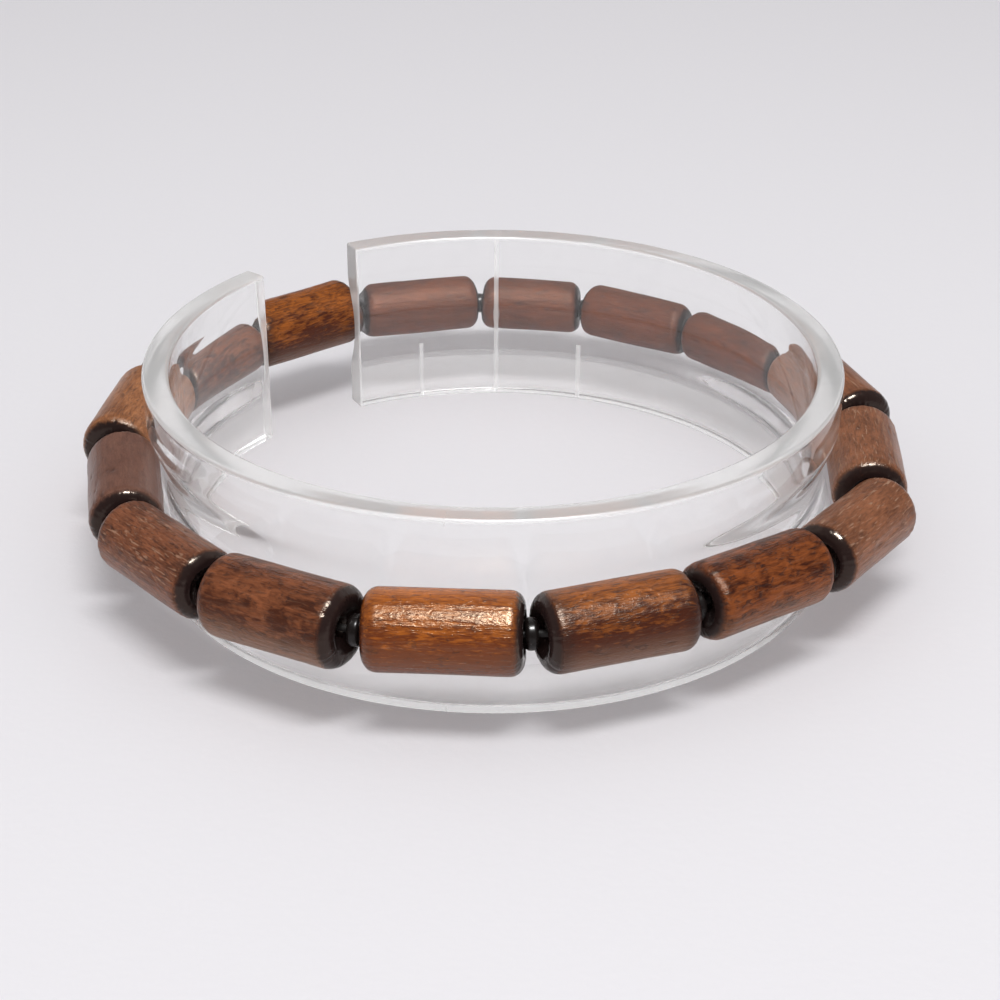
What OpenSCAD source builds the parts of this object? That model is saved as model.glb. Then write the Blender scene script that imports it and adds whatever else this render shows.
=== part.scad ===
// Stretch bracelet of stained wooden tube beads, seated round a clear C-shaped display ring.
// Each bead is drilled and dished, a small black spacer lies between two beads, and one
// elastic cord runs through them all. The origin is the middle of the display ring's foot,
// +Z is up and the front of the bracelet faces -Y.

/* [Display ring] */
// Outer diameter of the display ring
ring_d = 60; // [59:0.5:62]
// Height of the display ring
ring_h = 17.1; // [16:0.1:20]
// Thickness of the ring's wall at its rims
ring_wall = 2.25; // [2:0.05:3]
// Rounding of the ring's rims
rim_round = 0.3; // [0.1:0.05:0.5]
// Width of the channel that runs round the outside of the ring
channel_w = 8.1; // [8:0.1:9]
// Depth of that channel
channel_depth = 1.2; // [1:0.1:1.3]
// Direction of the middle of the ring's opening, in degrees from +X towards +Y
opening_at = 129.9; // [100:0.1:160]
// Angle that the opening takes out of the ring
opening_angle = 22.2; // [10:0.2:40]

/* [Tube beads] */
// Mean diameter of a tube bead
bead_d = 6.3; // [6.1:0.05:6.4]
// Space between the end faces of two neighbouring beads, on their axis
joint_gap = 1.05; // [1.05:0.05:1.4]
// Rounding of a bead's end edges
bead_round = 1.1; // [1.05:0.01:1.1]
// Diameter of the hole drilled through a bead
bore_d = 1.5; // [1.5:0.05:1.8]
// Diameter of the dish cut into each end of a bead
dish_d = 3.7; // [3.7:0.01:3.76]
// Depth of that dish
dish_depth = 0.8; // [0.8:0.05:1]
// Direction of the first bead, at the front, in degrees from +X towards +Y
first_at = -96.4; // [-110:0.1:-80]

/* [Spacers and elastic cord] */
// Outer diameter of a spacer
spacer_d = 2.5; // [2.4:0.05:2.5]
// Thickness of a spacer
spacer_t = 1; // [0.8:0.05:1]
// Diameter of the hole through a spacer
spacer_bore = 1.1; // [1.1:0.02:1.2]
// Diameter of the elastic cord
cord_d = 0.6; // [0.5:0.05:0.6]

/* [Hidden] */
// Space left between a bead and the channel that it lies in
seat_gap = 0.15;
// How far behind a bead's end face the cord starts to bend towards the next bead
cord_lead = 0.6;
// How far the cord runs on straight past each face of a spacer
cord_past = 0.1;
cord_sides = 8;
// Rounding of a spacer's edges, nearly half the width of its section
spacer_round_share = 0.48;
spacer_round = spacer_round_share * (spacer_d - spacer_bore) / 2;
// A spacer between two ends that lie out of line stays this share of the sideways step with
// the bead before it, slides along towards the end that leans away, and tilts per mm of step
spacer_stay = 0.25;
spacer_slide = 0.4;
spacer_tilt = 0.1;
fine = 96;
round_fine = 32;

// One row for each bead, counterclockwise from the front as seen from above. LONG and THICK
// are shares of the mean length and diameter, LIFT is the height of the bead's axis over the
// middle of the channel, OFF is how far the bead stands off the channel, both in mm, and
// TURN is its angle to the ring's tangent, in degrees, positive counterclockwise.
LONG = 0;
THICK = 1;
LIFT = 2;
OFF = 3;
TURN = 4;
BEADS = [
    [1.00, 1.02,  0.35, 0.10,  1.5],
    [1.00, 1.00,  0.55, 0.10,  3.0],
    [1.00, 0.98,  0.15, 0.00, -3.0],
    [1.01, 0.95, -0.60, 1.35, -8.5],
    [0.98, 1.02, -0.65, 0.35,  1.0],
    [1.00, 1.05, -0.25, 0.45,  2.0],
    [1.00, 0.98, -0.15, 0.00,  2.0],
    [0.95, 1.00, -0.15, 0.00, -2.0],
    [0.84, 0.98, -0.10, 0.30,  0.0],
    [1.00, 1.00,  0.10, 0.00,  0.0],
    [1.00, 1.02,  0.10, 0.00,  2.0],
    [1.00, 1.00,  0.00, 0.10, -1.0],
    [1.00, 1.03, -0.20, 0.30, -0.5],
    [0.99, 0.98, -0.50, 0.20, -4.5],
    [1.02, 0.95, -0.30, 1.00,  3.0],
    [1.00, 1.05,  0.00, 0.50,  0.0]
];
bead_count = len(BEADS);
last_bead = bead_count - 1;

function total(v, i = 0) = i < len(v) ? v[i] + total(v, i + 1) : 0;
function unit(v) = v / norm(v);
function after(i) = (i + 1) % bead_count;
function before(i) = (i + last_bead) % bead_count;
function numbered(name, i) = str(name, i < 9 ? "_0" : "_", i + 1);

// The channel is an arc through both of its edges and its deepest point
channel_r = (pow(channel_w, 2) / 4 + pow(channel_depth, 2)) / (2 * channel_depth);
channel_x = ring_d / 2 - channel_depth + channel_r;
channel_z = ring_h / 2;

// A bead lies in the channel at the distance from the ring's axis where its round side
// comes within seat_gap of the arc
function bead_r(i) = bead_d / 2 * BEADS[i][THICK];
function seat(i) = channel_x + BEADS[i][OFF]
    - sqrt(pow(channel_r - bead_r(i) - seat_gap, 2) - pow(BEADS[i][LIFT], 2));
seats = [for (i = [0 : last_bead]) seat(i)];

// The beads close the round: their mean length is what a regular polygon's side leaves
// beside the gap, and each takes the angle of its own length
mean_seat = total(seats) / bead_count;
mean_share = total([for (row = BEADS) row[LONG]]) / bead_count;
mean_l = (2 * mean_seat * tan(180 / bead_count) - joint_gap) / mean_share;
bead_l = [for (row = BEADS) mean_l * row[LONG]];
half_angles = [for (i = [0 : last_bead]) atan((bead_l[i] + joint_gap) / 2 / seats[i])];
closing = 180 / total(half_angles);
function bead_at(i) = i == 0 ? first_at
    : bead_at(i - 1) + closing * (half_angles[i - 1] + half_angles[i]);

// A bead leans along the slope between its two neighbours' heights
function lean(i) = atan((BEADS[after(i)][LIFT] - BEADS[before(i)][LIFT])
    / (2 * (mean_l + joint_gap)));
function heading(i) = bead_at(i) + 90 + BEADS[i][TURN];
function bead_axis(i) = [
    cos(heading(i)) * cos(lean(i)),
    sin(heading(i)) * cos(lean(i)),
    sin(lean(i))
];
function bead_middle(i) = [
    seats[i] * cos(bead_at(i)),
    seats[i] * sin(bead_at(i)),
    channel_z + BEADS[i][LIFT]
];
function bead_end(i, side) = bead_middle(i) + side * bead_l[i] / 2 * bead_axis(i);

// The joint between bead i and the next one
function joint_axis(i) = unit(bead_axis(i) + bead_axis(after(i)));
function joint_span(i) = bead_end(after(i), -1) - bead_end(i, 1);
function joint_step(i) = joint_span(i) - (joint_span(i) * joint_axis(i)) * joint_axis(i);
function joint_slide(i) = spacer_slide * (joint_span(i) * (bead_axis(after(i)) - bead_axis(i)));
function spacer_middle(i) = (bead_end(i, 1) + bead_end(after(i), -1)) / 2
    - spacer_stay * joint_step(i) + joint_slide(i) * joint_axis(i);
function spacer_axis(i) = unit(joint_axis(i) + spacer_tilt * joint_step(i));

// The cord's route: straight along each bead's axis, then straight through each spacer
cord_route = [
    for (i = [0 : last_bead], k = [0 : 3])
        k == 0 ? bead_end(i, -1) + cord_lead * bead_axis(i)
        : k == 1 ? bead_end(i, 1) - cord_lead * bead_axis(i)
        : spacer_middle(i) + (k == 2 ? -1 : 1) * (spacer_t / 2 + cord_past) * spacer_axis(i)
];

// Stands the children's own Z axis along a direction, with their origin at a place
module lay_along(place, direction)
    translate(place)
    rotate([0, acos(direction.z), atan2(direction.y, direction.x)])
    children();

// A rectangle from two opposite corners with its four corners rounded
module rounded_section(low, high, corner)
{
    size = high - low;
    translate([low.x + corner, low.y])
        square([size.x - 2 * corner, size.y]);
    translate([low.x, low.y + corner])
        square([size.x, size.y - 2 * corner]);
    for (x = [low.x + corner, high.x - corner], y = [low.y + corner, high.y - corner])
        translate([x, y])
        circle(corner, $fn = round_fine);
}

// Clear moulded ring with a hollow channel round its outside and one open side
module display_ring()
    color("whitesmoke")
    rotate(opening_at + opening_angle / 2)
    rotate_extrude(angle = 360 - opening_angle, $fn = fine)
    difference() {
        rounded_section([ring_d / 2 - ring_wall, 0], [ring_d / 2, ring_h], rim_round);
        translate([channel_x, channel_z])
            circle(channel_r, $fn = fine);
    }

// Half section of bead i, from its bore outwards: round outer edges and a dish at each end
module bead_section(i)
{
    r = bead_r(i);
    half_l = bead_l[i] / 2;
    dish_r = (pow(dish_d, 2) / 4 + pow(dish_depth, 2)) / (2 * dish_depth);
    difference() {
        union() {
            translate([bore_d / 2, -half_l])
                square([r - bead_round - bore_d / 2, 2 * half_l]);
            translate([bore_d / 2, bead_round - half_l])
                square([r - bore_d / 2, 2 * (half_l - bead_round)]);
            for (side = [-1, 1])
                translate([r - bead_round, side * (half_l - bead_round)])
                circle(bead_round, $fn = round_fine);
        }
        for (side = [-1, 1])
            translate([0, side * (half_l - dish_depth + dish_r)])
            circle(dish_r, $fn = fine);
    }
}

// Stained wooden tube, drilled from end to end
module tube_bead(i)
    color(i % 3 == 0 ? "peru" : i % 3 == 1 ? "chocolate" : "sienna")
    lay_along(bead_middle(i), bead_axis(i))
    rotate_extrude($fn = fine)
    bead_section(i);

// Small round-edged black bead between bead i and the next one
module spacer(i)
    color("#1c1a1c")
    lay_along(spacer_middle(i), spacer_axis(i))
    rotate_extrude($fn = fine)
    rounded_section([spacer_bore / 2, -spacer_t / 2], [spacer_d / 2, spacer_t / 2], spacer_round);

// Closed loop of elastic, swept along the route with its section square to the way it runs
module elastic_cord()
{
    stops = len(cord_route);
    points = [
        for (s = [0 : stops - 1])
            let (
                way = unit(cord_route[(s + 1) % stops] - cord_route[(s + stops - 1) % stops]),
                side = unit(cross(way, [0, 0, 1])),
                up = cross(side, way)
            )
            for (k = [0 : cord_sides - 1])
                let (turn = 360 * k / cord_sides)
                cord_route[s] + cord_d / 2 * (cos(turn) * side + sin(turn) * up)
    ];
    faces = [
        for (s = [0 : stops - 1], k = [0 : cord_sides - 1])
            let (
                here = s * cord_sides,
                there = ((s + 1) % stops) * cord_sides,
                next_k = (k + 1) % cord_sides
            )
            for (face = [[here + k, there + k, there + next_k],
                         [here + k, there + next_k, here + next_k]])
                face
    ];
    color("dimgray")
        polyhedron(points, faces);
}

display_ring();
elastic_cord();
for (i = [0 : last_bead]) {
    tube_bead(i);
    spacer(i);
}
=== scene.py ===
"""Looks of a stretch bracelet of stained wooden tube beads on its clear display ring.

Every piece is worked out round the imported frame: the place, length and radius of each bead and
spacer are read from its own solid, and the cord and the display ring follow the same sizes.
Lengths are in metres, +Z is up and the front of the bracelet faces -Y.
"""

from __future__ import annotations

import logging
import math
from dataclasses import dataclass, field
from enum import Enum, IntEnum
from typing import Any

import bmesh
import bpy
import numpy as np
from bpy.types import ID, Material, Node, NodeSocket, NodeTree, Object
from mathutils import Matrix, Quaternion, Vector

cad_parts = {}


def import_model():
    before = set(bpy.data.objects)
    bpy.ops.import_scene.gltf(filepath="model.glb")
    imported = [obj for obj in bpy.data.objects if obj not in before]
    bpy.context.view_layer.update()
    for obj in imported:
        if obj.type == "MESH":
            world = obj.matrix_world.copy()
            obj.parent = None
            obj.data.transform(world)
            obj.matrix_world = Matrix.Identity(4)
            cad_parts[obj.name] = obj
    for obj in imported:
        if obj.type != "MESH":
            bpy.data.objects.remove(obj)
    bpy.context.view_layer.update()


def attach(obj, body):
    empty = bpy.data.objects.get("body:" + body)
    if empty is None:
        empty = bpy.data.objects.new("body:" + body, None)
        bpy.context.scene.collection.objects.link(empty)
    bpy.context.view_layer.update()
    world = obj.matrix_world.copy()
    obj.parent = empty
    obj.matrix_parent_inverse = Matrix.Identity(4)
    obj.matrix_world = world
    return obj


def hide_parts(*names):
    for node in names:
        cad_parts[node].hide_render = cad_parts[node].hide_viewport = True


MM = 0.001
BODY = "root"
Pair = tuple[float, float]
Triple = tuple[float, float, float]
Rgb = Triple
Array = np.ndarray
Values = dict[str | int, Any]
log = logging.getLogger("bracelet")


# Turned pieces and their places


def unit(vectors: Array) -> Array:
    """Vectors scaled to a length of 1."""
    return vectors / np.linalg.norm(vectors, axis=-1, keepdims=True)


@dataclass(frozen=True)
class Place:
    """Where a turned piece lies: its middle, its axis, and its length and radius."""

    middle: Array
    axis: Array
    length: float
    radius: float

    @property
    def outward(self) -> Array:
        """Unit vector square to the axis that points away from the ring's middle."""
        away = np.array([self.middle[0], self.middle[1], 0.0])
        return unit(away - away.dot(self.axis) * self.axis)

    @property
    def upward(self) -> Array:
        """Unit vector square to the axis and to outward, which points up."""
        return np.cross(self.outward, self.axis)

    def end(self, side: int) -> Array:
        """Middle of the end face on one side, -1 or 1."""
        return self.middle + side * self.length / 2 * self.axis

    def to_world(self, out: Array, up: Array, along: Array) -> Array:
        """Turns coordinates in the piece's own frame into points.

        Args:
            out: distances from the axis along outward.
            up: distances from the axis along upward.
            along: distances from the middle along the axis.

        Returns:
            The points, with the coordinates in the last dimension.
        """
        return (
            self.middle
            + out[..., None] * self.outward
            + up[..., None] * self.upward
            + along[..., None] * self.axis
        )


class TurnedForm(Enum):
    """Whether a turned solid is longer along its axis than across it."""

    TUBE = "tube"
    WASHER = "washer"


def read_rows(items: Any, name: str, kind: type = float) -> Array:
    """Reads a property of three numbers from all items of a mesh.

    Args:
        items: the mesh's vertices, triangles or faces.
        name: name of the property.
        kind: kind of number.

    Returns:
        One row for each item.
    """
    values = np.empty(len(items) * 3, kind)
    items.foreach_get(name, values)
    return values.reshape(-1, 3)


def read_place(node: str, form: TurnedForm) -> Place:
    """Finds the place of a turned solid from its mesh.

    The middle is the mean of its triangles' centres weighted by their areas. The axis is the
    direction in which those centres spread most for a tube, or least for a washer, and it
    points counterclockwise round the ring. Length and radius are the largest extents of the
    vertices along and across that axis.

    Args:
        node: name of the solid.
        form: whether it is a tube or a washer.

    Returns:
        The solid's place.
    """
    mesh = bpy.data.objects[node].data
    mesh.calc_loop_triangles()
    points = read_rows(mesh.vertices, "co")
    a, b, c = points[read_rows(mesh.loop_triangles, "vertices", np.int32)].transpose(1, 0, 2)
    areas = np.linalg.norm(np.cross(b - a, c - a), axis=1) / 2
    middle = ((a + b + c) / 3 * areas[:, None]).sum(0) / areas.sum()
    # The second moment of a triangle is that of its three corners and three times its centre
    spread = np.zeros((3, 3))
    for corner, share in ((a, 1), (b, 1), (c, 1), ((a + b + c) / 3, 9)):
        offset = corner - middle
        spread += share / 12 * np.einsum("n,ni,nj->ij", areas, offset, offset)
    directions = np.linalg.eigh(spread)[1]
    axis = directions[:, 2 if form is TurnedForm.TUBE else 0]
    if np.cross(middle, axis)[2] < 0:
        axis = -axis
    along = (points - middle) @ axis
    across = np.linalg.norm(points - middle - along[:, None] * axis, axis=1)
    middle = middle + (along.max() + along.min()) / 2 * axis
    return Place(middle, axis, float(np.ptp(along)), float(across.max()))


def scene_object(name: str, data: ID) -> Object:
    """Makes an object and links it to the scene.

    Args:
        name: the object's name.
        data: its mesh, lamp or camera.

    Returns:
        The object.
    """
    made = bpy.data.objects.new(name, data)
    bpy.context.scene.collection.objects.link(made)
    return made


def smooth_mesh(name: str, points: Array, quads: Array) -> Object:
    """Makes an object from points and four-sided faces, shaded smooth.

    Args:
        name: name of the piece.
        points: places of the vertices in metres, with the coordinates in the last dimension.
        quads: one row of four vertex numbers for each face, counterclockwise from outside.

    Returns:
        The object, which is linked to the scene and has its place in its mesh.
    """
    mesh = bpy.data.meshes.new(name)
    mesh.vertices.add(points.size // 3)
    mesh.vertices.foreach_set("co", points.astype(np.float32).ravel())
    mesh.loops.add(quads.size)
    mesh.loops.foreach_set("vertex_index", quads.astype(np.int32).ravel())
    mesh.polygons.add(len(quads))
    mesh.polygons.foreach_set("loop_start", np.arange(0, quads.size, 4, dtype=np.int32))
    mesh.polygons.foreach_set("use_smooth", np.ones(len(quads), bool))
    mesh.update(calc_edges=True)
    mesh.validate()
    return scene_object(name, mesh)


def grid_quads(rows: int, columns: int, closed: bool = True) -> Array:
    """Numbers the four corners of each cell of a grid whose vertices are stored row by row.

    Args:
        rows: number of rows of vertices, each of which is a closed round.
        columns: number of vertices in a row.
        closed: whether the last row also joins the first.

    Returns:
        One row of four vertex numbers for each cell.
    """
    i = np.arange(rows if closed else rows - 1)[:, None]
    j = np.arange(columns)[None, :]
    down, right = (i + 1) % rows, (j + 1) % columns
    cells = [i * columns + j, down * columns + j, down * columns + right, i * columns + right]
    return np.stack([np.broadcast_to(c, (i.size, j.size)) for c in cells], -1).reshape(-1, 4)


def arc(centre: Pair, radius: float, start: float, stop: float, n: int) -> Array:
    """Points on an arc of a circle, from start to stop in degrees, both ends included."""
    turn = np.radians(np.linspace(start, stop, n))
    return np.stack([centre[0] + radius * np.cos(turn), centre[1] + radius * np.sin(turn)], -1)


def straight(start: Pair, stop: Pair, n: int) -> Array:
    """n evenly spaced points between two points, neither of which is included."""
    share = np.linspace(0, 1, n + 2)[1:-1, None]
    return (1 - share) * np.array(start) + share * np.array(stop)


def section_normals(section: Array) -> Array:
    """Unit vectors at the points of a closed section, square to the way between its neighbours."""
    ways = np.roll(section, -1, 0) - np.roll(section, 1, 0)
    return unit(np.stack([ways[:, 1], -ways[:, 0]], -1))


def full_turn(steps: int) -> Array:
    """Evenly spaced angles of one full turn, in radians, as a column."""
    return np.linspace(0, 2 * np.pi, steps, endpoint=False)[:, None]


def store(piece: Object, name: str, values: Array) -> None:
    """Keeps a value for each vertex of a piece as an attribute.

    Args:
        piece: the piece, whose vertices form a grid.
        name: the attribute's name.
        values: a grid of numbers, or one of vectors.
    """
    kind = "FLOAT" if values.ndim == 2 else "FLOAT_VECTOR"
    layer = piece.data.attributes.new(name, kind, "POINT")
    layer.data.foreach_set("value" if kind == "FLOAT" else "vector", values.astype(np.float32).ravel())


def place_piece(piece: Object, node: str, material: Material) -> None:
    """Lets a finished piece stand for its node, ride on the body and take its material.

    Args:
        piece: the finished piece.
        node: name of the node that it replaces.
        material: what it is made of.
    """
    piece.data.materials.append(material)
    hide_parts(node)
    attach(piece, BODY)
    log.info("%s: %d faces, replaces %s", piece.name, len(piece.data.polygons), node)


# Shader nodes


class Sheet:
    """Adds nodes to one node tree and joins them up."""

    def __init__(self, tree: NodeTree) -> None:
        """Starts on a tree."""
        self.tree = tree

    def add(self, kind: str, values: Values | None = None, **settings: Any) -> Node:
        """Adds a node.

        Args:
            kind: type name of the node.
            values: what to fill its inputs with.
            settings: its properties.

        Returns:
            The node.
        """
        node = self.tree.nodes.new(kind)
        for name, setting in settings.items():
            setattr(node, name, setting)
        self.fill(node.inputs, values or {})
        return node

    def fill(self, inputs: Any, values: Values) -> None:
        """Links or sets some inputs of a node.

        Args:
            inputs: the node's inputs.
            values: an output or a plain value for each input, by its name or its number.
        """
        for key, value in values.items():
            socket = inputs[key]
            if isinstance(value, NodeSocket):
                self.tree.links.new(value, socket)
            elif isinstance(value, tuple) and socket.type == "RGBA":
                socket.default_value = (*value, 1.0)
            else:
                socket.default_value = value

    def math(self, operation: str, a: Any, b: Any = 0.0, clamp: bool = False) -> NodeSocket:
        """One step of arithmetic on two numbers."""
        return self.add("ShaderNodeMath", {0: a, 1: b}, operation=operation, use_clamp=clamp).outputs[0]

    def weighted(self, start: float, parts: tuple[tuple[Any, Any], ...]) -> NodeSocket:
        """Adds up noises: each one's distance from its middle, 0.5, times its weight.

        Args:
            start: the number to start from.
            parts: each noise with its weight.

        Returns:
            The sum.
        """
        total = start
        for value, weight in parts:
            share = self.math("MULTIPLY", self.math("SUBTRACT", value, 0.5), weight)
            total = self.math("ADD", share, total)
        return total

    def noise(self, vector: Any, scale: float, detail: float, distortion: float = 0.0) -> Any:
        """Cloudy noise of about 0.5, as a number."""
        values = {"Vector": vector, "Scale": scale, "Detail": detail, "Distortion": distortion}
        return self.add("ShaderNodeTexNoise", values).outputs["Fac"]

    def between(self, value: Any, low: float, high: float) -> NodeSocket:
        """0 below low, 1 above high and a smooth step between them."""
        values = {"Value": value, "From Min": low, "From Max": high}
        return self.add("ShaderNodeMapRange", values, interpolation_type="SMOOTHSTEP").outputs["Result"]

    def mix(self, factor: Any, a: Any, b: Any) -> NodeSocket:
        """Colour a, blended to colour b by a factor."""
        return self.add("ShaderNodeMix", {"Factor": factor, 6: a, 7: b}, data_type="RGBA").outputs[2]

    def bump(self, height: Any, distance: float) -> NodeSocket:
        """Normal of a surface raised by height times distance, in metres."""
        return self.add("ShaderNodeBump", {"Height": height, "Distance": distance}).outputs["Normal"]

    def object_place(self) -> NodeSocket:
        """Object coordinates, in metres."""
        return self.add("ShaderNodeTexCoord").outputs["Object"]

    def attribute(self, name: str, output: str) -> NodeSocket:
        """Reads a vertex attribute, as Fac or Vector."""
        return self.add("ShaderNodeAttribute", attribute_name=name).outputs[output]


def new_group(name: str, inputs: dict[str, str], outputs: dict[str, str]) -> tuple[Any, Any, Any]:
    """Starts a node group.

    Args:
        name: the group's name.
        inputs: kind of socket for each input's name.
        outputs: kind of socket for each output's name.

    Returns:
        The group, its input node's sockets and its output node's sockets.
    """
    group = bpy.data.node_groups.new(name, "ShaderNodeTree")
    for label, kind in inputs.items():
        group.interface.new_socket(label, in_out="INPUT", socket_type=kind)
    for label, kind in outputs.items():
        group.interface.new_socket(label, in_out="OUTPUT", socket_type=kind)
    source = group.nodes.new("NodeGroupInput").outputs
    target = group.nodes.new("NodeGroupOutput").inputs
    return group, source, target


def new_material(name: str) -> tuple[Material, Sheet, Node]:
    """Starts a material with a Principled shader on its output.

    Args:
        name: the material's name.

    Returns:
        The material, a sheet on its nodes and the Principled node.
    """
    material = bpy.data.materials.new(name)
    material.use_nodes = True
    return material, Sheet(material.node_tree), material.node_tree.nodes["Principled BSDF"]


@dataclass(frozen=True)
class GrainNoise:
    """Noise along the grain: its scales across and along it, its shift, its detail and its warp."""

    across: float
    along: float
    shift: float
    detail: float
    warp: float = 0.0

    def value(self, sheet: Sheet, grain: Any) -> NodeSocket:
        """Adds the noise to a tree: the grain coordinate is scaled and shifted before it.

        Args:
            sheet: the tree's sheet.
            grain: the grain coordinate.

        Returns:
            The noise, of about 0.5.
        """
        values = {0: grain, 1: (self.across, self.across, self.along), 2: (self.shift,) * 3}
        node = sheet.add("ShaderNodeVectorMath", values, operation="MULTIPLY_ADD")
        return sheet.noise(node.outputs[0], 1.0, self.detail, self.warp)


# The wood's noises, the values between which its masks rise, and the shares of its marks

FIBRE = GrainNoise(5.5, 0.8, 7.3, 4.0, 0.9)
MOTTLE = GrainNoise(1.3, 0.6, 1.9, 4.0, 1.1)
GRIT = GrainNoise(9.0, 2.4, 5.1, 2.0)
PATCH = GrainNoise(0.34, 0.18, 3.1, 2.0)
BROKEN = GrainNoise(2.3, 1.15, 11.0, 3.0, 1.2)
RUBBED = GrainNoise(5.2, 0.75, 23.0, 3.0, 0.6)
PORE_RISE = (0.58, 0.66)
FLECK_RISE = (0.58, 0.68)
# Upper side over which the painted floor reflection rises towards the under side
UNDER_SHEEN_RISE = (0.1, -0.8)
SINGE_RISE = (-1.8, 0.3)
BURN_RISE = (-0.22, 0.22)
# Upper side at which the painted top light neither lightens nor darkens
UPPER_MIDDLE = 0.75
GRIT_IN_TONE = 0.6
PORE_DARKNESS = 0.62
BURN_WANDER = 0.5
ROUGH_FIBRES = 0.10
ROUGH_FLECKS = 0.18
BURN_POLISH = 0.8
LEAST_ROUGH = 0.55
HEIGHT_SHARES = (0.8, 1.0, 0.8, -0.25)

# Names of the wood group's inputs: marks are the beads' attributes, the rest a finish's fields

WOOD_MARKS = ("Burn Depth", "Pit", "Upper Side")
WOOD_COLOURS = ("Light", "Dark", "Burnt", "Pale")
WOOD_AMOUNTS = (
    "Streaks", "Mottling", "Patches", "Two Tone", "Under", "Pores", "Flecks", "Singe", "Roughness",
)


def field_name(label: str) -> str:
    """Name of the attribute or the field that an input's label stands for."""
    return label.lower().replace(" ", "_")


def wood_group() -> NodeTree:
    """Builds the node group of stained and lacquered wood seen along its grain.

    Fibres are noise drawn out along the grain and mottling is a rounder, coarser one. Patches
    vary the stain slowly. Painted top light makes each bead lighter on its upper side and darker
    lower down, as the lamps would light it, and a painted reflection of the pale floor turns the
    stain pale towards the under side. Pores are the peaks of a broken noise, and flecks are where
    the lacquer is rubbed pale. Where the burn depth is over zero the stain is burnt black, with a
    soft and slightly uneven edge, and it is singed darker for some way before that.

    Returns:
        The group, with the colour, roughness and height of the surface as outputs.
    """
    colour, number, vector = "NodeSocketColor", "NodeSocketFloat", "NodeSocketVector"
    inputs = {"Grain": vector}
    for labels, kind in ((WOOD_MARKS, number), (WOOD_COLOURS, colour), (WOOD_AMOUNTS, number)):
        inputs.update(dict.fromkeys(labels, kind))
    outputs = {"Color": colour, "Roughness": number, "Height": number}
    group, source, target = new_group("stained_wood", inputs, outputs)
    sheet = Sheet(group)
    layers = (FIBRE, MOTTLE, GRIT, PATCH, BROKEN, RUBBED)
    fibre, mottle, grit, patch, broken, rubbed = (noise.value(sheet, source["Grain"]) for noise in layers)
    pore = sheet.between(broken, *PORE_RISE)
    fleck = sheet.between(rubbed, *FLECK_RISE)

    tone = sheet.weighted(0.5, (
        (fibre, source["Streaks"]),
        (mottle, source["Mottling"]),
        (patch, source["Patches"]),
        (grit, GRIT_IN_TONE),
    ))
    # Painted light and shade: the upper side of the bead is lightened and the lower side darkened
    upper = sheet.math("SUBTRACT", source["Upper Side"], UPPER_MIDDLE)
    tone = sheet.math("ADD", tone, sheet.math("MULTIPLY", upper, source["Two Tone"]), clamp=True)
    stain = sheet.mix(tone, source["Dark"], source["Light"])
    # Painted reflection of the pale floor: the stain turns paler towards the under side
    below = sheet.math("MULTIPLY", sheet.between(source["Upper Side"], *UNDER_SHEEN_RISE), source["Under"])
    stain = sheet.mix(below, stain, source["Pale"])
    pore_share = sheet.math("MULTIPLY", pore, source["Pores"], clamp=True)
    deep = sheet.math("MULTIPLY", sheet.math("MAXIMUM", pore_share, source["Pit"]), PORE_DARKNESS)
    stain = sheet.mix(deep, stain, source["Burnt"])
    fleck_share = sheet.math("MULTIPLY", fleck, source["Flecks"], clamp=True)
    stain = sheet.mix(fleck_share, stain, source["Pale"])
    singe = sheet.math("MULTIPLY", sheet.between(source["Burn Depth"], *SINGE_RISE), source["Singe"])
    stain = sheet.mix(singe, stain, source["Burnt"])

    wander = sheet.math("MULTIPLY", sheet.math("SUBTRACT", mottle, 0.5), BURN_WANDER)
    burn = sheet.between(sheet.math("ADD", source["Burn Depth"], wander), *BURN_RISE)
    rough = sheet.math("ADD", source["Roughness"], sheet.math("MULTIPLY", fibre, ROUGH_FIBRES))
    rough = sheet.math("ADD", rough, sheet.math("MULTIPLY", fleck_share, ROUGH_FLECKS))
    plain = sheet.math("SUBTRACT", 1.0, sheet.math("MULTIPLY", burn, BURN_POLISH))
    height = sheet.weighted(0.0, tuple(zip((fibre, mottle, grit, pore_share), HEIGHT_SHARES)))
    sheet.fill(target, {
        "Color": sheet.mix(burn, stain, source["Burnt"]),
        "Roughness": sheet.math("MULTIPLY", rough, sheet.math("MAXIMUM", plain, LEAST_ROUGH)),
        "Height": sheet.math("MULTIPLY", height, plain),
    })
    return group


@dataclass(frozen=True)
class StainedWood:
    """A stained wood: its colours in linear light and how strongly each mark shows."""

    name: str
    light: Rgb
    dark: Rgb
    burnt: Rgb = (0.022, 0.012, 0.011)
    # Pale is both the colour of rubbed lacquer and of the painted floor reflection on the under side
    pale: Rgb = (0.34, 0.19, 0.12)
    streaks: float = 1.5
    mottling: float = 1.3
    patches: float = 1.2
    # The next two amounts are painted light: the upper side lightened and the lower darkened, and the under
    # side paled as a painted reflection of the floor
    two_tone: float = 0.0
    under: float = 0.0
    pores: float = 0.7
    flecks: float = 0.1
    singe: float = 0.12
    roughness: float = 0.25
    relief: float = 0.05 * MM
    gloss: float = 0.3
    gloss_tint: Rgb = (1.0, 0.84, 0.70)

    def material(self, group: NodeTree) -> Material:
        """Makes the material with the shared wood group.

        Args:
            group: the wood group.

        Returns:
            The material.
        """
        material, sheet, shader = new_material(self.name)
        values = {"Grain": sheet.attribute("grain", "Vector")}
        values |= {label: sheet.attribute(field_name(label), "Fac") for label in WOOD_MARKS}
        values |= {label: getattr(self, field_name(label)) for label in WOOD_COLOURS + WOOD_AMOUNTS}
        wood = sheet.add("ShaderNodeGroup", node_tree=group)
        sheet.fill(wood.inputs, values)
        sheet.fill(shader.inputs, {
            "Base Color": wood.outputs["Color"],
            "Roughness": wood.outputs["Roughness"],
            "Normal": sheet.bump(wood.outputs["Height"], self.relief),
            "Specular IOR Level": self.gloss,
            "Specular Tint": self.gloss_tint,
        })
        return material


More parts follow.
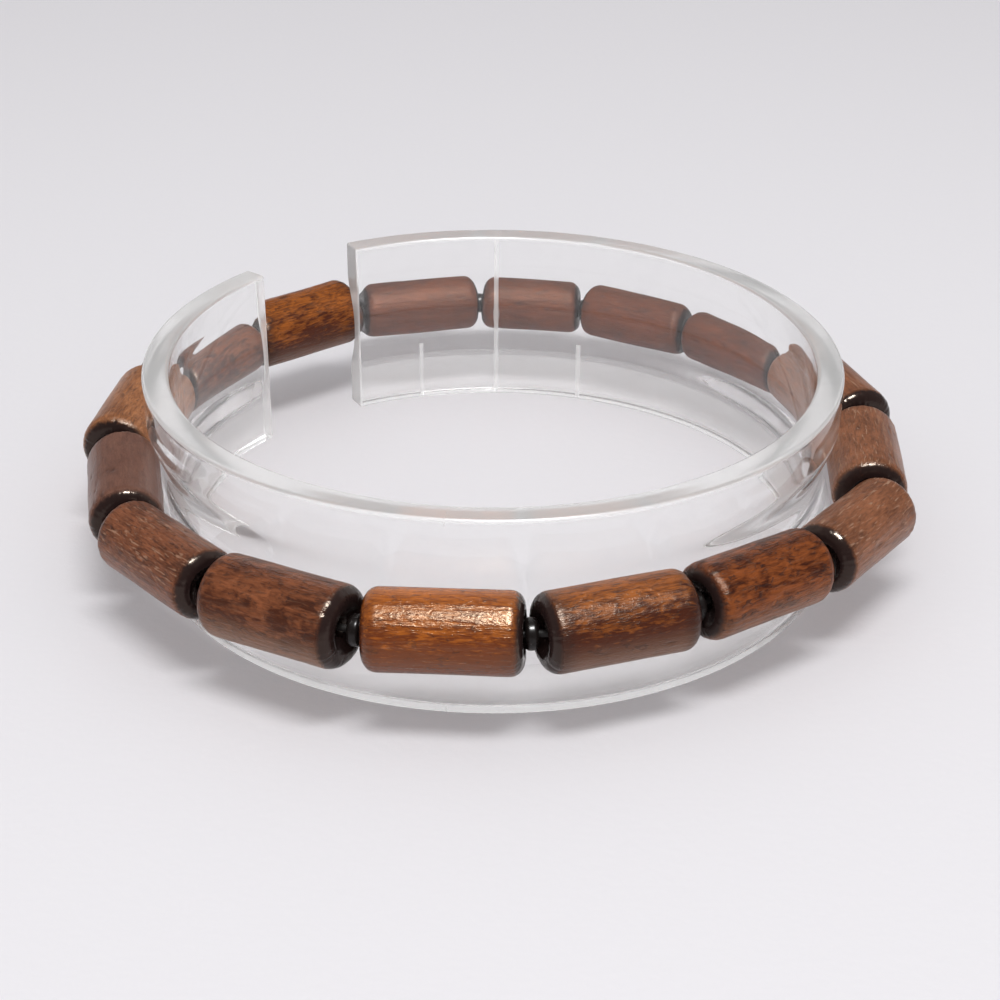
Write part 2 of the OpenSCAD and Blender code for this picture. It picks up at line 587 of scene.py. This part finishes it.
@dataclass(frozen=True)
class GlossBlack:
    """Glossy black of the spacers and of the cord, with faint clouds in its polish."""

    name: str
    colour: Rgb
    roughness: float
    gloss: float = 0.3
    cloud_scale: float = 900.0
    cloud_light: float = 1.6
    cloud_roughness: float = 0.16
    relief: float = 0.01 * MM

    def material(self) -> Material:
        """Makes the material.

        Returns:
            The material.
        """
        material, sheet, shader = new_material(self.name)
        cloud = sheet.noise(sheet.object_place(), self.cloud_scale, 3.0)
        pale = tuple(c * self.cloud_light for c in self.colour)
        rougher = sheet.math("MULTIPLY", cloud, self.cloud_roughness)
        sheet.fill(shader.inputs, {
            "Base Color": sheet.mix(cloud, self.colour, pale),
            "Roughness": sheet.math("ADD", rougher, self.roughness),
            "Normal": sheet.bump(cloud, self.relief),
            "Specular IOR Level": self.gloss,
        })
        return material


@dataclass(frozen=True)
class ClearPlastic:
    """Moulded clear plastic: slightly wavy, faintly scuffed, and open to the lamps' light."""

    name: str
    tint: Rgb = (0.985, 0.985, 0.98)
    shade: Rgb = (0.985, 0.985, 0.985)
    ior: float = 1.45
    clarity: float = 0.985
    roughness: float = 0.015
    scuffs: float = 0.10
    scuff_scale: float = 700.0
    scuff_rise: Pair = (0.52, 0.75)
    scuff_colour: Rgb = (0.95, 0.95, 0.95)
    wave: float = 0.02 * MM
    wave_scale: float = 120.0

    def material(self) -> Material:
        """Makes the material, which lamps and scattered light pass straight through.

        Returns:
            The material.
        """
        material, sheet, shader = new_material(self.name)
        where = sheet.object_place()
        wave = sheet.noise(where, self.wave_scale, 1.0)
        scuff = sheet.between(sheet.noise(where, self.scuff_scale, 5.0), *self.scuff_rise)
        rougher = sheet.math("MULTIPLY", scuff, self.scuffs)
        sheet.fill(shader.inputs, {
            "Base Color": sheet.mix(scuff, self.tint, self.scuff_colour),
            "Roughness": sheet.math("ADD", rougher, self.roughness),
            "Normal": sheet.bump(wave, self.wave),
            "IOR": self.ior,
            "Transmission Weight": self.clarity,
        })
        path = sheet.add("ShaderNodeLightPath").outputs
        passes = sheet.math("MAXIMUM", path["Is Shadow Ray"], path["Is Diffuse Ray"])
        through = sheet.add("ShaderNodeBsdfTransparent", {"Color": self.shade})
        ways = {0: passes, 1: shader.outputs[0], 2: through.outputs[0]}
        mixed = sheet.add("ShaderNodeMixShader", ways)
        sheet.fill(material.node_tree.nodes["Material Output"].inputs, {"Surface": mixed.outputs[0]})
        return material


# The bracelet's pieces


@dataclass(frozen=True)
class Waves:
    """Cosine waves over a bead: their height, least and most turns round it, and run per mm."""

    height: float
    turns: tuple[int, int]
    run: float
    count: int = 14


@dataclass
class Wear:
    """How uneven and how pitted one bead's surface is, from its own seed."""

    seed: int
    bumps: Waves = Waves(0.022 * MM, (1, 5), 0.5)
    ridges: Waves = Waves(0.010 * MM, (12, 46), 0.35)
    pits: int = 46
    pit_depth: float = 0.075 * MM
    pit_widths: Pair = (0.09 * MM, 0.20 * MM)
    pit_lengths: Pair = (0.15 * MM, 0.75 * MM)
    least_depth: float = 0.25
    pit_seed_step: int = 1000

    def unevenness_at(self, turn: Array, along: Array) -> Array:
        """Height of slow bumps and fine ridges along the grain.

        It is a sum of cosine waves. Each has a whole number of turns round the bead, a run
        along it and a phase of its own, so the surface closes on itself.

        Args:
            turn: angles round the bead, in radians.
            along: distances along the bead, in metres.

        Returns:
            Heights over the true surface, in metres.
        """
        rng = np.random.default_rng(self.seed)
        height = np.zeros(np.broadcast(turn, along).shape)
        for waves in (self.bumps, self.ridges):
            turns = rng.integers(*waves.turns, waves.count)
            runs = rng.normal(0.0, waves.run, waves.count) / MM
            phases = rng.uniform(0, 2 * np.pi, waves.count)
            wave = np.cos(turns * turn[..., None] + runs * along[..., None] + phases)
            height += waves.height * wave.sum(-1) / math.sqrt(waves.count)
        return height

    def pits_at(self, turn: Array, along: Array, radius: float, half: float) -> Array:
        """Share of the pits' depth at each point, from 0 to 1.

        Each pit is a bell curve round its own place, longer along the grain than across.

        Args:
            turn: angles round the bead, in radians.
            along: distances along the bead, in metres.
            radius: the bead's radius.
            half: half of the bead's length.

        Returns:
            Share of the full depth.
        """
        rng = np.random.default_rng(self.seed + self.pit_seed_step)
        places = rng.uniform(-np.pi, np.pi, self.pits)
        stations = rng.uniform(-half, half, self.pits)
        widths = rng.uniform(*self.pit_widths, self.pits)
        lengths = rng.uniform(*self.pit_lengths, self.pits)
        depths = rng.uniform(self.least_depth, 1.0, self.pits) ** 2
        round_way = (turn[..., None] - places + np.pi) % (2 * np.pi) - np.pi
        bell = (round_way * radius / widths) ** 2 + ((along[..., None] - stations) / lengths) ** 2
        return np.minimum((depths * np.exp(-bell)).sum(-1), 1.0)


@dataclass
class TurnedPiece:
    """A numbered piece of the string, turned about its own axis where its solid lies."""

    number: int
    material: Material
    place: Place = field(init=False)
    kind = "piece"
    form = TurnedForm.TUBE

    def __post_init__(self) -> None:
        """Reads the piece's place from its solid."""
        self.place = read_place(self.node, self.form)

    @property
    def node(self) -> str:
        """Name of the piece's solid."""
        return f"{self.kind}_{self.number:02d}"


@dataclass
class WoodBead(TurnedPiece):
    """One drilled and dished tube bead, turned from its half section."""

    wear: Wear
    burns: Pair
    bore: float = 0.75 * MM
    dish: float = 1.85 * MM
    dish_depth: float = 0.8 * MM
    rounding: float = 1.1 * MM
    upper_turn: float = math.radians(100)
    grain_step: float = 40.0
    around: int = 160
    side_points: int = 84
    dish_points: int = 8
    rim_points: int = 2
    corner_points: int = 9
    bore_points: int = 5
    kind = "bead"

    def section(self) -> Array:
        """Works out the closed half section.

        It runs out over the dish and the flat rim of the first end, round that edge, along the
        side, and the same way back into the second dish and through the bore.

        Returns:
            One row for each point: its radius and its distance along the axis.
        """
        half, radius = self.place.length / 2, self.place.radius
        dish_r = (self.dish**2 + self.dish_depth**2) / (2 * self.dish_depth)
        dish_middle = half - self.dish_depth + dish_r
        rim = math.degrees(math.asin(self.dish / dish_r))
        hole = math.degrees(math.asin(self.bore / dish_r))
        corner = radius - self.rounding, half - self.rounding
        near_end = np.concatenate([
            arc((0.0, -dish_middle), dish_r, 90 - hole, 90 - rim, self.dish_points),
            straight((self.dish, -half), (corner[0], -half), self.rim_points),
            arc((corner[0], -corner[1]), self.rounding, -90, 0, self.corner_points),
        ])
        side = straight((radius, -corner[1]), (radius, corner[1]), self.side_points)
        far_end = (near_end * [1, -1])[::-1]
        bore = straight(tuple(far_end[-1]), tuple(near_end[0]), self.bore_points)
        return np.concatenate([near_end, side, far_end, bore])

    def build(self) -> None:
        """Turns the section about the axis, wears its outside and keeps the grain's coordinates.

        The burn depth is how far a point lies inside the burnt stretch of its end, in mm, and 1
        on the ends, in the dishes and in the bore.
        """
        section = self.section()
        half, radius = self.place.length / 2, self.place.radius
        normals = section_normals(section)
        turn = full_turn(self.around)
        along = section[None, :, 1]
        shown = np.clip((section[:, 0] - self.dish) / (radius - self.rounding - self.dish), 0, 1)
        pit = self.wear.pits_at(turn, along, radius, half) * shown
        height = (self.wear.unevenness_at(turn, along) - self.wear.pit_depth * pit) * shown
        reach = section[None, :, 0] + height * normals[None, :, 0]
        station = along + height * normals[None, :, 1]
        out, up = reach * np.cos(turn), reach * np.sin(turn)
        points = self.place.to_world(out, up, station)
        quads = grid_quads(self.around, len(section))
        piece = smooth_mesh(f"wood_{self.node}", points, quads)
        offset = self.grain_step * self.number
        grain = np.stack([out / MM + offset, up / MM - offset, station / MM + offset], -1)
        from_rim = np.maximum(half - np.abs(along), 0) / MM
        burn = np.where(along < 0, self.burns[0], self.burns[1]) - from_rim
        burn = np.where(section[None, :, 0] > radius - self.rounding, burn, 1.0)
        # How far a point faces up, which drives the painted top light and the painted floor reflection
        upper = (out * math.cos(self.upper_turn) + up * math.sin(self.upper_turn)) / radius
        store(piece, "grain", grain)
        store(piece, "burn_depth", np.broadcast_to(burn, out.shape))
        store(piece, "upper_side", upper)
        store(piece, "pit", pit)
        place_piece(piece, self.node, self.material)


@dataclass
class Spacer(TurnedPiece):
    """One small black bead with round edges, between two tube beads."""

    bore: float = 0.55 * MM
    rounding: float = 0.336 * MM
    crown: float = 0.035 * MM
    around: int = 72
    outer_points: int = 9
    inner_points: int = 7
    side_points: int = 4
    kind = "spacer"
    form = TurnedForm.WASHER

    def section(self) -> Array:
        """Works out the closed round-cornered section, whose outer side is slightly crowned.

        The crown takes the outer side in by a share of its height that grows with the square
        of the distance from the spacer's middle.

        Returns:
            One row for each point: its radius and its distance along the axis.
        """
        half, r = self.place.length / 2, self.rounding
        outer, inner = self.place.radius - r, self.bore + r
        section = np.concatenate([
            arc((outer, half - r), r, 0, 90, self.outer_points),
            arc((inner, half - r), r, 90, 180, self.inner_points),
            arc((inner, r - half), r, 180, 270, self.inner_points),
            arc((outer, r - half), r, 270, 360, self.outer_points),
            straight((outer + r, r - half), (outer + r, half - r), self.side_points),
        ])
        section[:, 0] -= self.crown * (section[:, 1] / half) ** 2 * (section[:, 0] > outer)
        return section

    def build(self) -> None:
        """Turns the section about the spacer's axis."""
        section = self.section()[::-1]
        turn = full_turn(self.around)
        reach = section[None, :, 0]
        along = np.broadcast_to(section[None, :, 1], (self.around, len(section)))
        points = self.place.to_world(reach * np.cos(turn), reach * np.sin(turn), along)
        quads = grid_quads(self.around, len(section))[:, ::-1]
        piece = smooth_mesh(f"black_{self.node}", points, quads)
        place_piece(piece, self.node, self.material)


@dataclass
class ElasticCord:
    """Closed loop of ribbed elastic that runs straight through each bead and each spacer."""

    beads: list[Place]
    spacers: list[Place]
    material: Material
    radius: float = 0.3 * MM
    lead: float = 0.6 * MM
    through_spacer: float = 0.6 * MM
    rib_depth: float = 0.018 * MM
    rib_pitch: float = 0.5 * MM
    sides: int = 16
    step: float = 0.12 * MM

    def route(self) -> Array:
        """Spaces points evenly on the loop's middle line.

        It runs straight along a bead's axis until a little before the bead's end, then straight
        through the middle of the spacer and on into the next bead.

        Returns:
            One row of three coordinates for each point.
        """
        stops = []
        for bead, spacer in zip(self.beads, self.spacers):
            stops += [bead.end(-1) + self.lead * bead.axis, bead.end(1) - self.lead * bead.axis]
            reach = self.through_spacer * spacer.axis
            stops += [spacer.middle - reach, spacer.middle + reach]
        stops.append(stops[0])
        run = np.array(stops)
        lengths = np.concatenate([[0], np.cumsum(np.linalg.norm(np.diff(run, axis=0), axis=1))])
        count = int(lengths[-1] / self.step)
        at = np.linspace(0, lengths[-1], count, endpoint=False)
        return np.stack([np.interp(at, lengths, run[:, k]) for k in range(3)], -1)

    def build(self) -> None:
        """Carries a circle along the route, its radius waved by the ribs."""
        route = self.route()
        ways = unit(np.roll(route, -1, 0) - np.roll(route, 1, 0))
        sides = unit(np.cross(ways, [0.0, 0.0, 1.0]))
        ups = np.cross(sides, ways)
        roll = full_turn(self.sides)[None]
        travelled = np.arange(len(route))[:, None, None] * self.step
        rib = np.cos(2 * np.pi * travelled / self.rib_pitch + 2 * roll)
        reach = self.radius - self.rib_depth * (0.5 + 0.5 * rib)
        rounds = np.cos(roll) * sides[:, None, :] + np.sin(roll) * ups[:, None, :]
        points = route[:, None, :] + reach * rounds
        quads = grid_quads(len(route), self.sides)
        piece = smooth_mesh("elastic_loop", points, quads)
        place_piece(piece, "elastic_cord", self.material)


@dataclass(frozen=True)
class MouldLine:
    """A fine upright ridge that the mould left on one side of the ring, between two heights.

    Its direction is in degrees from +X towards +Y.
    """

    direction: float
    low: float
    high: float
    rise: float = 0.10 * MM
    width: float = 0.22 * MM
    fade: float = 0.2 * MM
    outside: bool = False

    def rise_at(self, distance: Array, height: Array) -> Array:
        """Rise of the ridge at distances round the ring from it and at heights over the foot."""
        run = np.clip((height - self.low) / self.fade, 0, 1) * np.clip((self.high - height) / self.fade, 0, 1)
        return self.rise * np.exp(-((distance / self.width) ** 2)) * run


class RingFinish(IntEnum):
    """Number of each finish of the display ring among its materials."""

    CLEAR = 0
    FROSTED = 1
    HAZY = 2


@dataclass
class DisplayRing:
    """Clear moulded ring with a hollow channel round its outside and one open side."""

    material: Material
    frosted: Material
    hazy: Material
    node: str = "display_ring"
    channel_width: float = 8.1 * MM
    channel_depth: float = 1.2 * MM
    rim_round: float = 0.3 * MM
    cut_round: float = 0.18 * MM
    edge_blend: float = 0.85 * MM
    mould_lines: tuple[MouldLine, ...] = ()
    around: int = 420
    wall_points: int = 59
    flat_points: int = 3
    corner_points: int = 7
    line_points: int = 13
    line_reach: float = 2.2
    angle_digits: int = 7
    front_frost: float = 0.05
    outer: float = field(init=False)
    inner: float = field(init=False)
    height: float = field(init=False)
    start: float = field(init=False)
    stop: float = field(init=False)

    def __post_init__(self) -> None:
        """Reads the ring's radii, its height and the ends of its wall from its solid.

        The wall starts and stops at the two sides of the widest space between the directions
        of its vertices.
        """
        points = read_rows(bpy.data.objects[self.node].data.vertices, "co")
        reach = np.hypot(points[:, 0], points[:, 1])
        self.outer, self.inner = float(reach.max()), float(reach.min())
        self.height = float(points[:, 2].max())
        turns = np.sort(np.arctan2(points[:, 1], points[:, 0]))
        spaces = np.append(np.diff(turns), turns[0] + 2 * np.pi - turns[-1])
        widest = int(spaces.argmax())
        self.start = float(turns[(widest + 1) % len(turns)])
        self.stop = float(turns[widest]) + (2 * np.pi if self.start > turns[widest] else 0.0)

    def section(self) -> tuple[Array, Array]:
        """Works out the outer and the inner side of the wall's section.

        Both sides run from the middle of the foot to the middle of the top rim and have the
        same number of points, so that a cut face is a ladder between them. The channel's edges
        are blended: where the radii of its arc and of the wall differ by less than the blend,
        the lesser is taken in by the square of the rest of the blend over four times the blend.

        Returns:
            The two sides, with one row for each point: its radius and its height.
        """
        r, top, foot_middle = self.rim_round, self.height, (self.outer + self.inner) / 2
        half = self.channel_width / 2
        hollow_r = (half**2 + self.channel_depth**2) / (2 * self.channel_depth)
        hollow_x = self.outer - self.channel_depth + hollow_r
        z = np.linspace(r, top - r, self.wall_points + 2)[1:-1]
        hollow = hollow_x - np.sqrt(np.maximum(hollow_r**2 - (z - top / 2) ** 2, 0))
        blend = np.maximum(self.edge_blend - np.abs(hollow - self.outer), 0) ** 2 / (4 * self.edge_blend)
        outer_wall = np.stack([np.minimum(hollow, self.outer) - blend, z], -1)
        inner_wall = straight((self.inner, r), (self.inner, top - r), self.wall_points)
        sides = []
        for x, turn, wall in ((self.outer - r, 0, outer_wall), (self.inner + r, -180, inner_wall)):
            foot = np.concatenate([
                [[foot_middle, 0.0]],
                straight((foot_middle, 0.0), (x, 0.0), self.flat_points),
                arc((x, r), r, -90, turn, self.corner_points),
            ])
            sides.append(np.concatenate([foot, wall, (foot * [1, -1] + [0, top])[::-1]]))
        return sides[0], sides[1]

    def build(self) -> None:
        """Sweeps the section from one cut face to the other and closes both.

        Towards a cut face the section draws in by the sagitta of a quarter circle, which
        rounds the cut's edges. The directions lie closer together across each mould line, as
        far as line_reach times its width.
        """
        outside, inside = self.section()
        loop = np.concatenate([outside, inside[-2:0:-1]])
        normals = section_normals(loop)
        r = self.cut_round
        quarter = r * (1 - np.cos(np.radians(np.linspace(0, 90, self.corner_points))))[:-1]
        edge = quarter / self.outer
        turns = np.concatenate([
            self.start + edge,
            np.linspace(self.start + r / self.outer, self.stop - r / self.outer, self.around),
            (self.stop - edge)[::-1],
        ])
        across = np.linspace(-self.line_reach, self.line_reach, self.line_points) / self.outer
        seams = [self.past_start(math.radians(line.direction)) for line in self.mould_lines]
        near_seams = [seam + line.width * across for line, seam in zip(self.mould_lines, seams)]
        turns = np.unique(np.round(np.concatenate([turns, *near_seams]), self.angle_digits))
        to_cut = np.minimum(turns - self.start, self.stop - turns) * self.outer
        drawn_in = r - np.sqrt(np.maximum(r**2 - np.maximum(r - to_cut, 0) ** 2, 0))
        raised = np.zeros((len(turns), len(loop)))
        outer_half = loop[:, 0] > (self.outer + self.inner) / 2
        for line, seam in zip(self.mould_lines, seams):
            distance = (turns - seam)[:, None] * self.outer
            raised += line.rise_at(distance, loop[None, :, 1]) * (outer_half == line.outside)
        offset = raised - drawn_in[:, None]
        rows = loop[None, :, :] + offset[..., None] * normals[None, :, :]
        reach, height = rows[..., 0], rows[..., 1]
        points = np.stack([reach * np.cos(turns)[:, None], reach * np.sin(turns)[:, None], height], -1)
        quads = grid_quads(len(turns), len(loop), closed=False)[:, ::-1]
        # Rungs join each point of the outer side to its partner at the same step of the inner side
        n, count = len(outside), len(loop)
        rung = np.arange(n - 1)
        partner = (count - np.arange(n)) % count
        partner[-1] = n - 1
        ladder = np.stack([rung, rung + 1, partner[rung + 1], partner[rung]], -1)
        last = (len(turns) - 1) * count
        inner_rungs = ladder[1:-1]
        wedges = ladder[[0, -1]]
        faces = np.concatenate([quads, inner_rungs, (inner_rungs + last)[:, ::-1]])
        piece = smooth_mesh("clear_ring", points, faces)
        self.close_wedges(piece, wedges, last)
        place_piece(piece, self.node, self.material)
        self.frost(piece)

    def frost(self, piece: Object) -> None:
        """Frosts the top rim, the cuts and the mould lines, and hazes the base.

        At the front the rounding of the rim's inner edge stays clear. The base is the upright
        wall under the channel.

        Args:
            piece: the ring, which already has the clear finish.
        """
        piece.data.materials.append(self.frosted)
        piece.data.materials.append(self.hazy)
        x, y, z = read_rows(piece.data.polygons, "center", np.float32).T
        turn = self.past_start(np.arctan2(y, x))
        to_cut = np.minimum(turn - self.start, self.stop - turn) * self.outer
        outer_half = np.hypot(x, y) > (self.inner + self.outer) / 2
        below_top = (self.height - z) / self.rim_round
        clear_edge = ~outer_half & (y < -self.outer / 2)
        frosted = (below_top < np.where(clear_edge, self.front_frost, 1.0)) | (to_cut < self.cut_round)
        for line in self.mould_lines:
            seam = self.past_start(math.radians(line.direction))
            near = np.abs(turn - seam) * self.outer < line.width
            frosted |= near & (z > line.low) & (z < line.high) & (outer_half == line.outside)
        base = (z > self.rim_round) & (z < (self.height - self.channel_width) / 2)
        finish = np.where(base, RingFinish.HAZY, RingFinish.CLEAR)
        finish = np.where(frosted, RingFinish.FROSTED, finish)
        piece.data.polygons.foreach_set("material_index", finish.astype(np.int32))

    def past_start(self, turn: Any) -> Any:
        """An angle or angles, in radians, counted on from the ring's start."""
        return self.start + (turn - self.start) % (2 * math.pi)

    @staticmethod
    def close_wedges(piece: Object, wedges: Array, last: int) -> None:
        """Adds the three-cornered faces at the foot and the top of both cut faces.

        Args:
            piece: the ring.
            wedges: four vertex numbers for each, two of them alike, on the first cut face.
            last: what to add to a vertex number for the same vertex on the last cut face.
        """
        work = bmesh.new()
        work.from_mesh(piece.data)
        work.verts.ensure_lookup_table()
        for wedge in wedges.tolist():
            for shift, order in ((0, 1), (last, -1)):
                corners = list(dict.fromkeys(v + shift for v in wedge))[::order]
                face = work.faces.new([work.verts[v] for v in corners])
                face.smooth = True
        bmesh.ops.recalc_face_normals(work, faces=work.faces)
        work.to_mesh(piece.data)
        work.free()


# Floor, light and camera


@dataclass(frozen=True)
class Lamp:
    """A soft lamp that looks at the bracelet, for matt light or for highlights alone."""

    name: str
    spot: Triple
    size: Pair
    power: float
    matt: bool

    def build(self) -> None:
        """Hangs the lamp and turns it to the origin."""
        lamp = bpy.data.lights.new(self.name, "AREA")
        lamp.shape = "ELLIPSE"
        lamp.size, lamp.size_y = self.size
        lamp.energy = self.power
        holder = scene_object(self.name, lamp)
        holder.location = self.spot
        holder.rotation_euler = (-Vector(self.spot)).to_track_quat("-Z", "Y").to_euler()
        holder.visible_diffuse = self.matt
        holder.visible_glossy = not self.matt
        holder.visible_transmission = False


@dataclass
class Studio:
    """Plain pale floor, soft lamps and even light all round, mirrored dimly at the front."""

    floor_size: float = 2.4
    floor_drop: float = 0.03 * MM
    floor_colour: Rgb = (0.81, 0.796, 0.824)
    cloud_share: float = 0.985
    cloud_scale: float = 30.0
    tooth_scale: float = 1200.0
    tooth: float = 0.04 * MM
    floor_roughness: float = 0.7
    floor_gloss: float = 0.2
    fade: Pair = (-0.10, 0.10)
    lamps: tuple[Lamp, ...] = (
        Lamp("key", (0.03, -0.18, 0.45), (0.25, 0.09), 1.0, True),
        Lamp("gloss", (0.038, -0.155, 0.40), (0.16, 0.06), 4.4, False),
    )
    ambient: Rgb = (0.49, 0.486, 0.49)
    window: Rgb = (0.90, 0.895, 0.90)
    window_direction: Triple = (0.0, -0.74, 0.67)
    window_rise: Pair = (0.3, 0.95)
    seen_through: Rgb = (0.80, 0.793, 0.80)
    mirrored: Rgb = (0.27, 0.257, 0.257)
    front: Rgb = (0.12, 0.115, 0.115)
    front_direction: Triple = (0.0, -0.87, 0.49)
    front_rise: Pair = (0.35, 0.85)

    def floor(self) -> None:
        """Lays the floor a hair under the ring's foot.

        It has a faint tooth, and faint clouds that fade out from the front to the back.
        """
        half, drop = self.floor_size / 2, -self.floor_drop
        sides = ((-half, -half), (half, -half), (half, half), (-half, half))
        corners = np.array([(*side, drop) for side in sides])
        floor = smooth_mesh("floor", corners, np.array([[0, 1, 2, 3]]))
        material, sheet, shader = new_material("pale_floor")
        where = sheet.object_place()
        cloud = sheet.noise(where, self.cloud_scale, 3.0)
        deep = tuple(c * self.cloud_share for c in self.floor_colour)
        near = sheet.mix(cloud, deep, self.floor_colour)
        away = sheet.between(sheet.add("ShaderNodeSeparateXYZ", {0: where}).outputs["Y"], *self.fade)
        sheet.fill(shader.inputs, {
            "Base Color": sheet.mix(away, near, self.floor_colour),
            "Roughness": self.floor_roughness,
            "Specular IOR Level": self.floor_gloss,
            "Normal": sheet.bump(sheet.noise(where, self.tooth_scale, 3.0), self.tooth),
        })
        floor.data.materials.append(material)

    def surround_light(self) -> None:
        """Sets soft light all round, brighter through clear things and mirrored dimly at the front."""
        world = bpy.data.worlds.new("surround")
        bpy.context.scene.world = world
        world.use_nodes = True
        sheet = Sheet(world.node_tree)
        way = sheet.add("ShaderNodeTexCoord").outputs["Generated"]
        shares = []
        for direction, rise in (
            (self.window_direction, self.window_rise),
            (self.front_direction, self.front_rise),
        ):
            toward = sheet.add("ShaderNodeVectorMath", {0: way, 1: direction}, operation="DOT_PRODUCT")
            shares.append(sheet.between(toward.outputs["Value"], *rise))
        ambient = sheet.mix(shares[0], self.ambient, self.window)
        path = sheet.add("ShaderNodeLightPath").outputs
        mirrored = sheet.mix(shares[1], self.mirrored, self.front)
        light = sheet.mix(path["Is Glossy Ray"], ambient, mirrored)
        light = sheet.mix(path["Is Transmission Ray"], light, self.seen_through)
        sheet.fill(world.node_tree.nodes["Background"].inputs, {"Color": light})

    def build(self) -> None:
        """Sets up floor, lamps and surrounding light."""
        self.floor()
        for lamp in self.lamps:
            lamp.build()
        self.surround_light()


@dataclass
class CameraRig:
    """Camera at the photograph's viewing angle, aimed just past the ring's middle."""

    distance: float = 177.03 * MM
    elevation: float = 29.155
    yaw: float = 0.207
    pitch: float = 0.734
    roll: float = -0.118
    focal_length: float = 70.45
    sensor: float = 36.0
    nearest: float = 5 * MM

    def build(self) -> None:
        """Aims the camera at the origin, then turns it right by yaw, up by pitch and by roll."""
        up_angle = math.radians(self.elevation)
        spot = self.distance * Vector((0.0, -math.cos(up_angle), math.sin(up_angle)))
        aim = (-spot).to_track_quat("-Z", "Y")
        for axis, angle in (((0, -1, 0), self.yaw), ((1, 0, 0), self.pitch), ((0, 0, -1), self.roll)):
            aim = aim @ Quaternion(axis, math.radians(angle))
        camera = bpy.data.cameras.new("camera")
        camera.lens = self.focal_length
        camera.sensor_width = self.sensor
        camera.clip_start = self.nearest
        holder = scene_object("camera", camera)
        holder.matrix_world = Matrix.LocRotScale(spot, aim, None)
        bpy.context.scene.camera = holder


# Finishes, and how far each bead's two ends are burnt along its side, in mm

# Each finish's top light and under amounts are painted light and shade, not the wood's own colour
GOLDEN = StainedWood(
    "golden_wood", (0.49, 0.130, 0.010), (0.14, 0.028, 0.005), streaks=2.0, mottling=1.1, two_tone=0.7,
    under=0.04, singe=0.3, roughness=0.2, relief=0.035 * MM, gloss=0.55, gloss_tint=(1.0, 0.78, 0.56),
)
TAWNY = StainedWood(
    "tawny_wood", (0.24, 0.075, 0.029), (0.060, 0.015, 0.006), streaks=0.8, mottling=2.8, two_tone=0.4,
    under=0.6, relief=0.05 * MM,
)
# Strong painted top light: a lighter upper side and a darker lower side, with a pale painted floor reflection
# below
TOP_LIT = StainedWood(
    "two_tone_wood", (0.33, 0.092, 0.012), (0.062, 0.012, 0.004), two_tone=0.85, under=0.42, mottling=2.4,
    streaks=2.2, singe=0.65, relief=0.04 * MM, gloss=0.3,
)
ORANGE = StainedWood(
    "orange_wood", (0.235, 0.061, 0.014), (0.040, 0.008, 0.003), pores=1.0, mottling=2.8, under=0.40,
    gloss=0.2,
)
BROWN = StainedWood(
    "brown_wood", (0.31, 0.117, 0.054), (0.120, 0.043, 0.020), pores=0.3, flecks=1.0, relief=0.04 * MM,
)
PALE = StainedWood("pale_wood", (0.47, 0.195, 0.080), (0.185, 0.066, 0.027))
RED = StainedWood(
    "red_brown_wood", (0.18, 0.045, 0.013), (0.066, 0.015, 0.005), mottling=0.9, roughness=0.4, gloss=0.12,
)
MAUVE = StainedWood(
    "mauve_wood", (0.190, 0.085, 0.058), (0.105, 0.045, 0.031), pores=0.3, mottling=0.9, relief=0.02 * MM,
)
WORN = StainedWood("worn_wood", (0.242, 0.083, 0.038), (0.080, 0.025, 0.012), flecks=0.8, streaks=2.6)
BEADS = (
    (GOLDEN, 0.12, 0.50), (TOP_LIT, 0.60, 0.30), (ORANGE, 0.30, 0.10), (BROWN, 0.70, 0.15),
    (BROWN, 0.45, 0.20), (BROWN, 0.80, 0.25), (RED, 0.40, 0.40), (RED, 0.30, 0.40),
    (RED, 0.40, 0.30), (RED, 0.30, 0.40), (TOP_LIT, 0.40, 0.30), (TAWNY, 0.30, 0.45),
    (PALE, 0.30, 0.40), (MAUVE, 0.15, 0.50), (WORN, 0.10, 0.60), (TAWNY, 0.15, 0.70),
)
MOULD_LINES = (
    MouldLine(89.4, 0.4 * MM, 16.7 * MM),
    MouldLine(105.2, 0.4 * MM, 6.0 * MM, rise=0.07 * MM),
    MouldLine(72.0, 0.4 * MM, 6.0 * MM, rise=0.07 * MM),
    MouldLine(-96.8, 16.4 * MM, 17.4 * MM, rise=0.05 * MM, width=0.06 * MM, outside=True),
    MouldLine(-96.8, 0.0, 0.7 * MM, rise=0.05 * MM, width=0.06 * MM, outside=True),
)


def main() -> None:
    """Sets up camera and studio, builds every piece round the frame and keeps the sizes."""
    logging.basicConfig(level=logging.INFO, format="%(name)s: %(message)s")
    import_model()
    CameraRig().build()
    Studio().build()
    bpy.context.scene.view_settings.view_transform = "Standard"

    group = wood_group()
    woods = {finish.name: finish.material(group) for finish, *_ in BEADS}
    black = GlossBlack("black_gloss", (0.009, 0.0065, 0.006), 0.2, gloss=0.22).material()
    elastic = GlossBlack("black_elastic", (0.016, 0.013, 0.012), 0.42).material()
    beads = [
        WoodBead(number, woods[finish.name], Wear(seed=number), burns)
        for number, (finish, *burns) in enumerate(BEADS, 1)
    ]
    spacers = [Spacer(number, black) for number in range(1, len(beads) + 1)]
    for piece in beads + spacers:
        piece.build()
    ElasticCord([b.place for b in beads], [s.place for s in spacers], elastic).build()
    clear = ClearPlastic("clear_plastic").material()
    frosted = ClearPlastic("frosted_plastic", clarity=0.57, roughness=0.24, scuffs=0.0).material()
    hazy = ClearPlastic("hazy_plastic", clarity=0.78, roughness=0.05).material()
    DisplayRing(clear, frosted, hazy, mould_lines=MOULD_LINES).build()


if __name__ == "__main__":
    main()
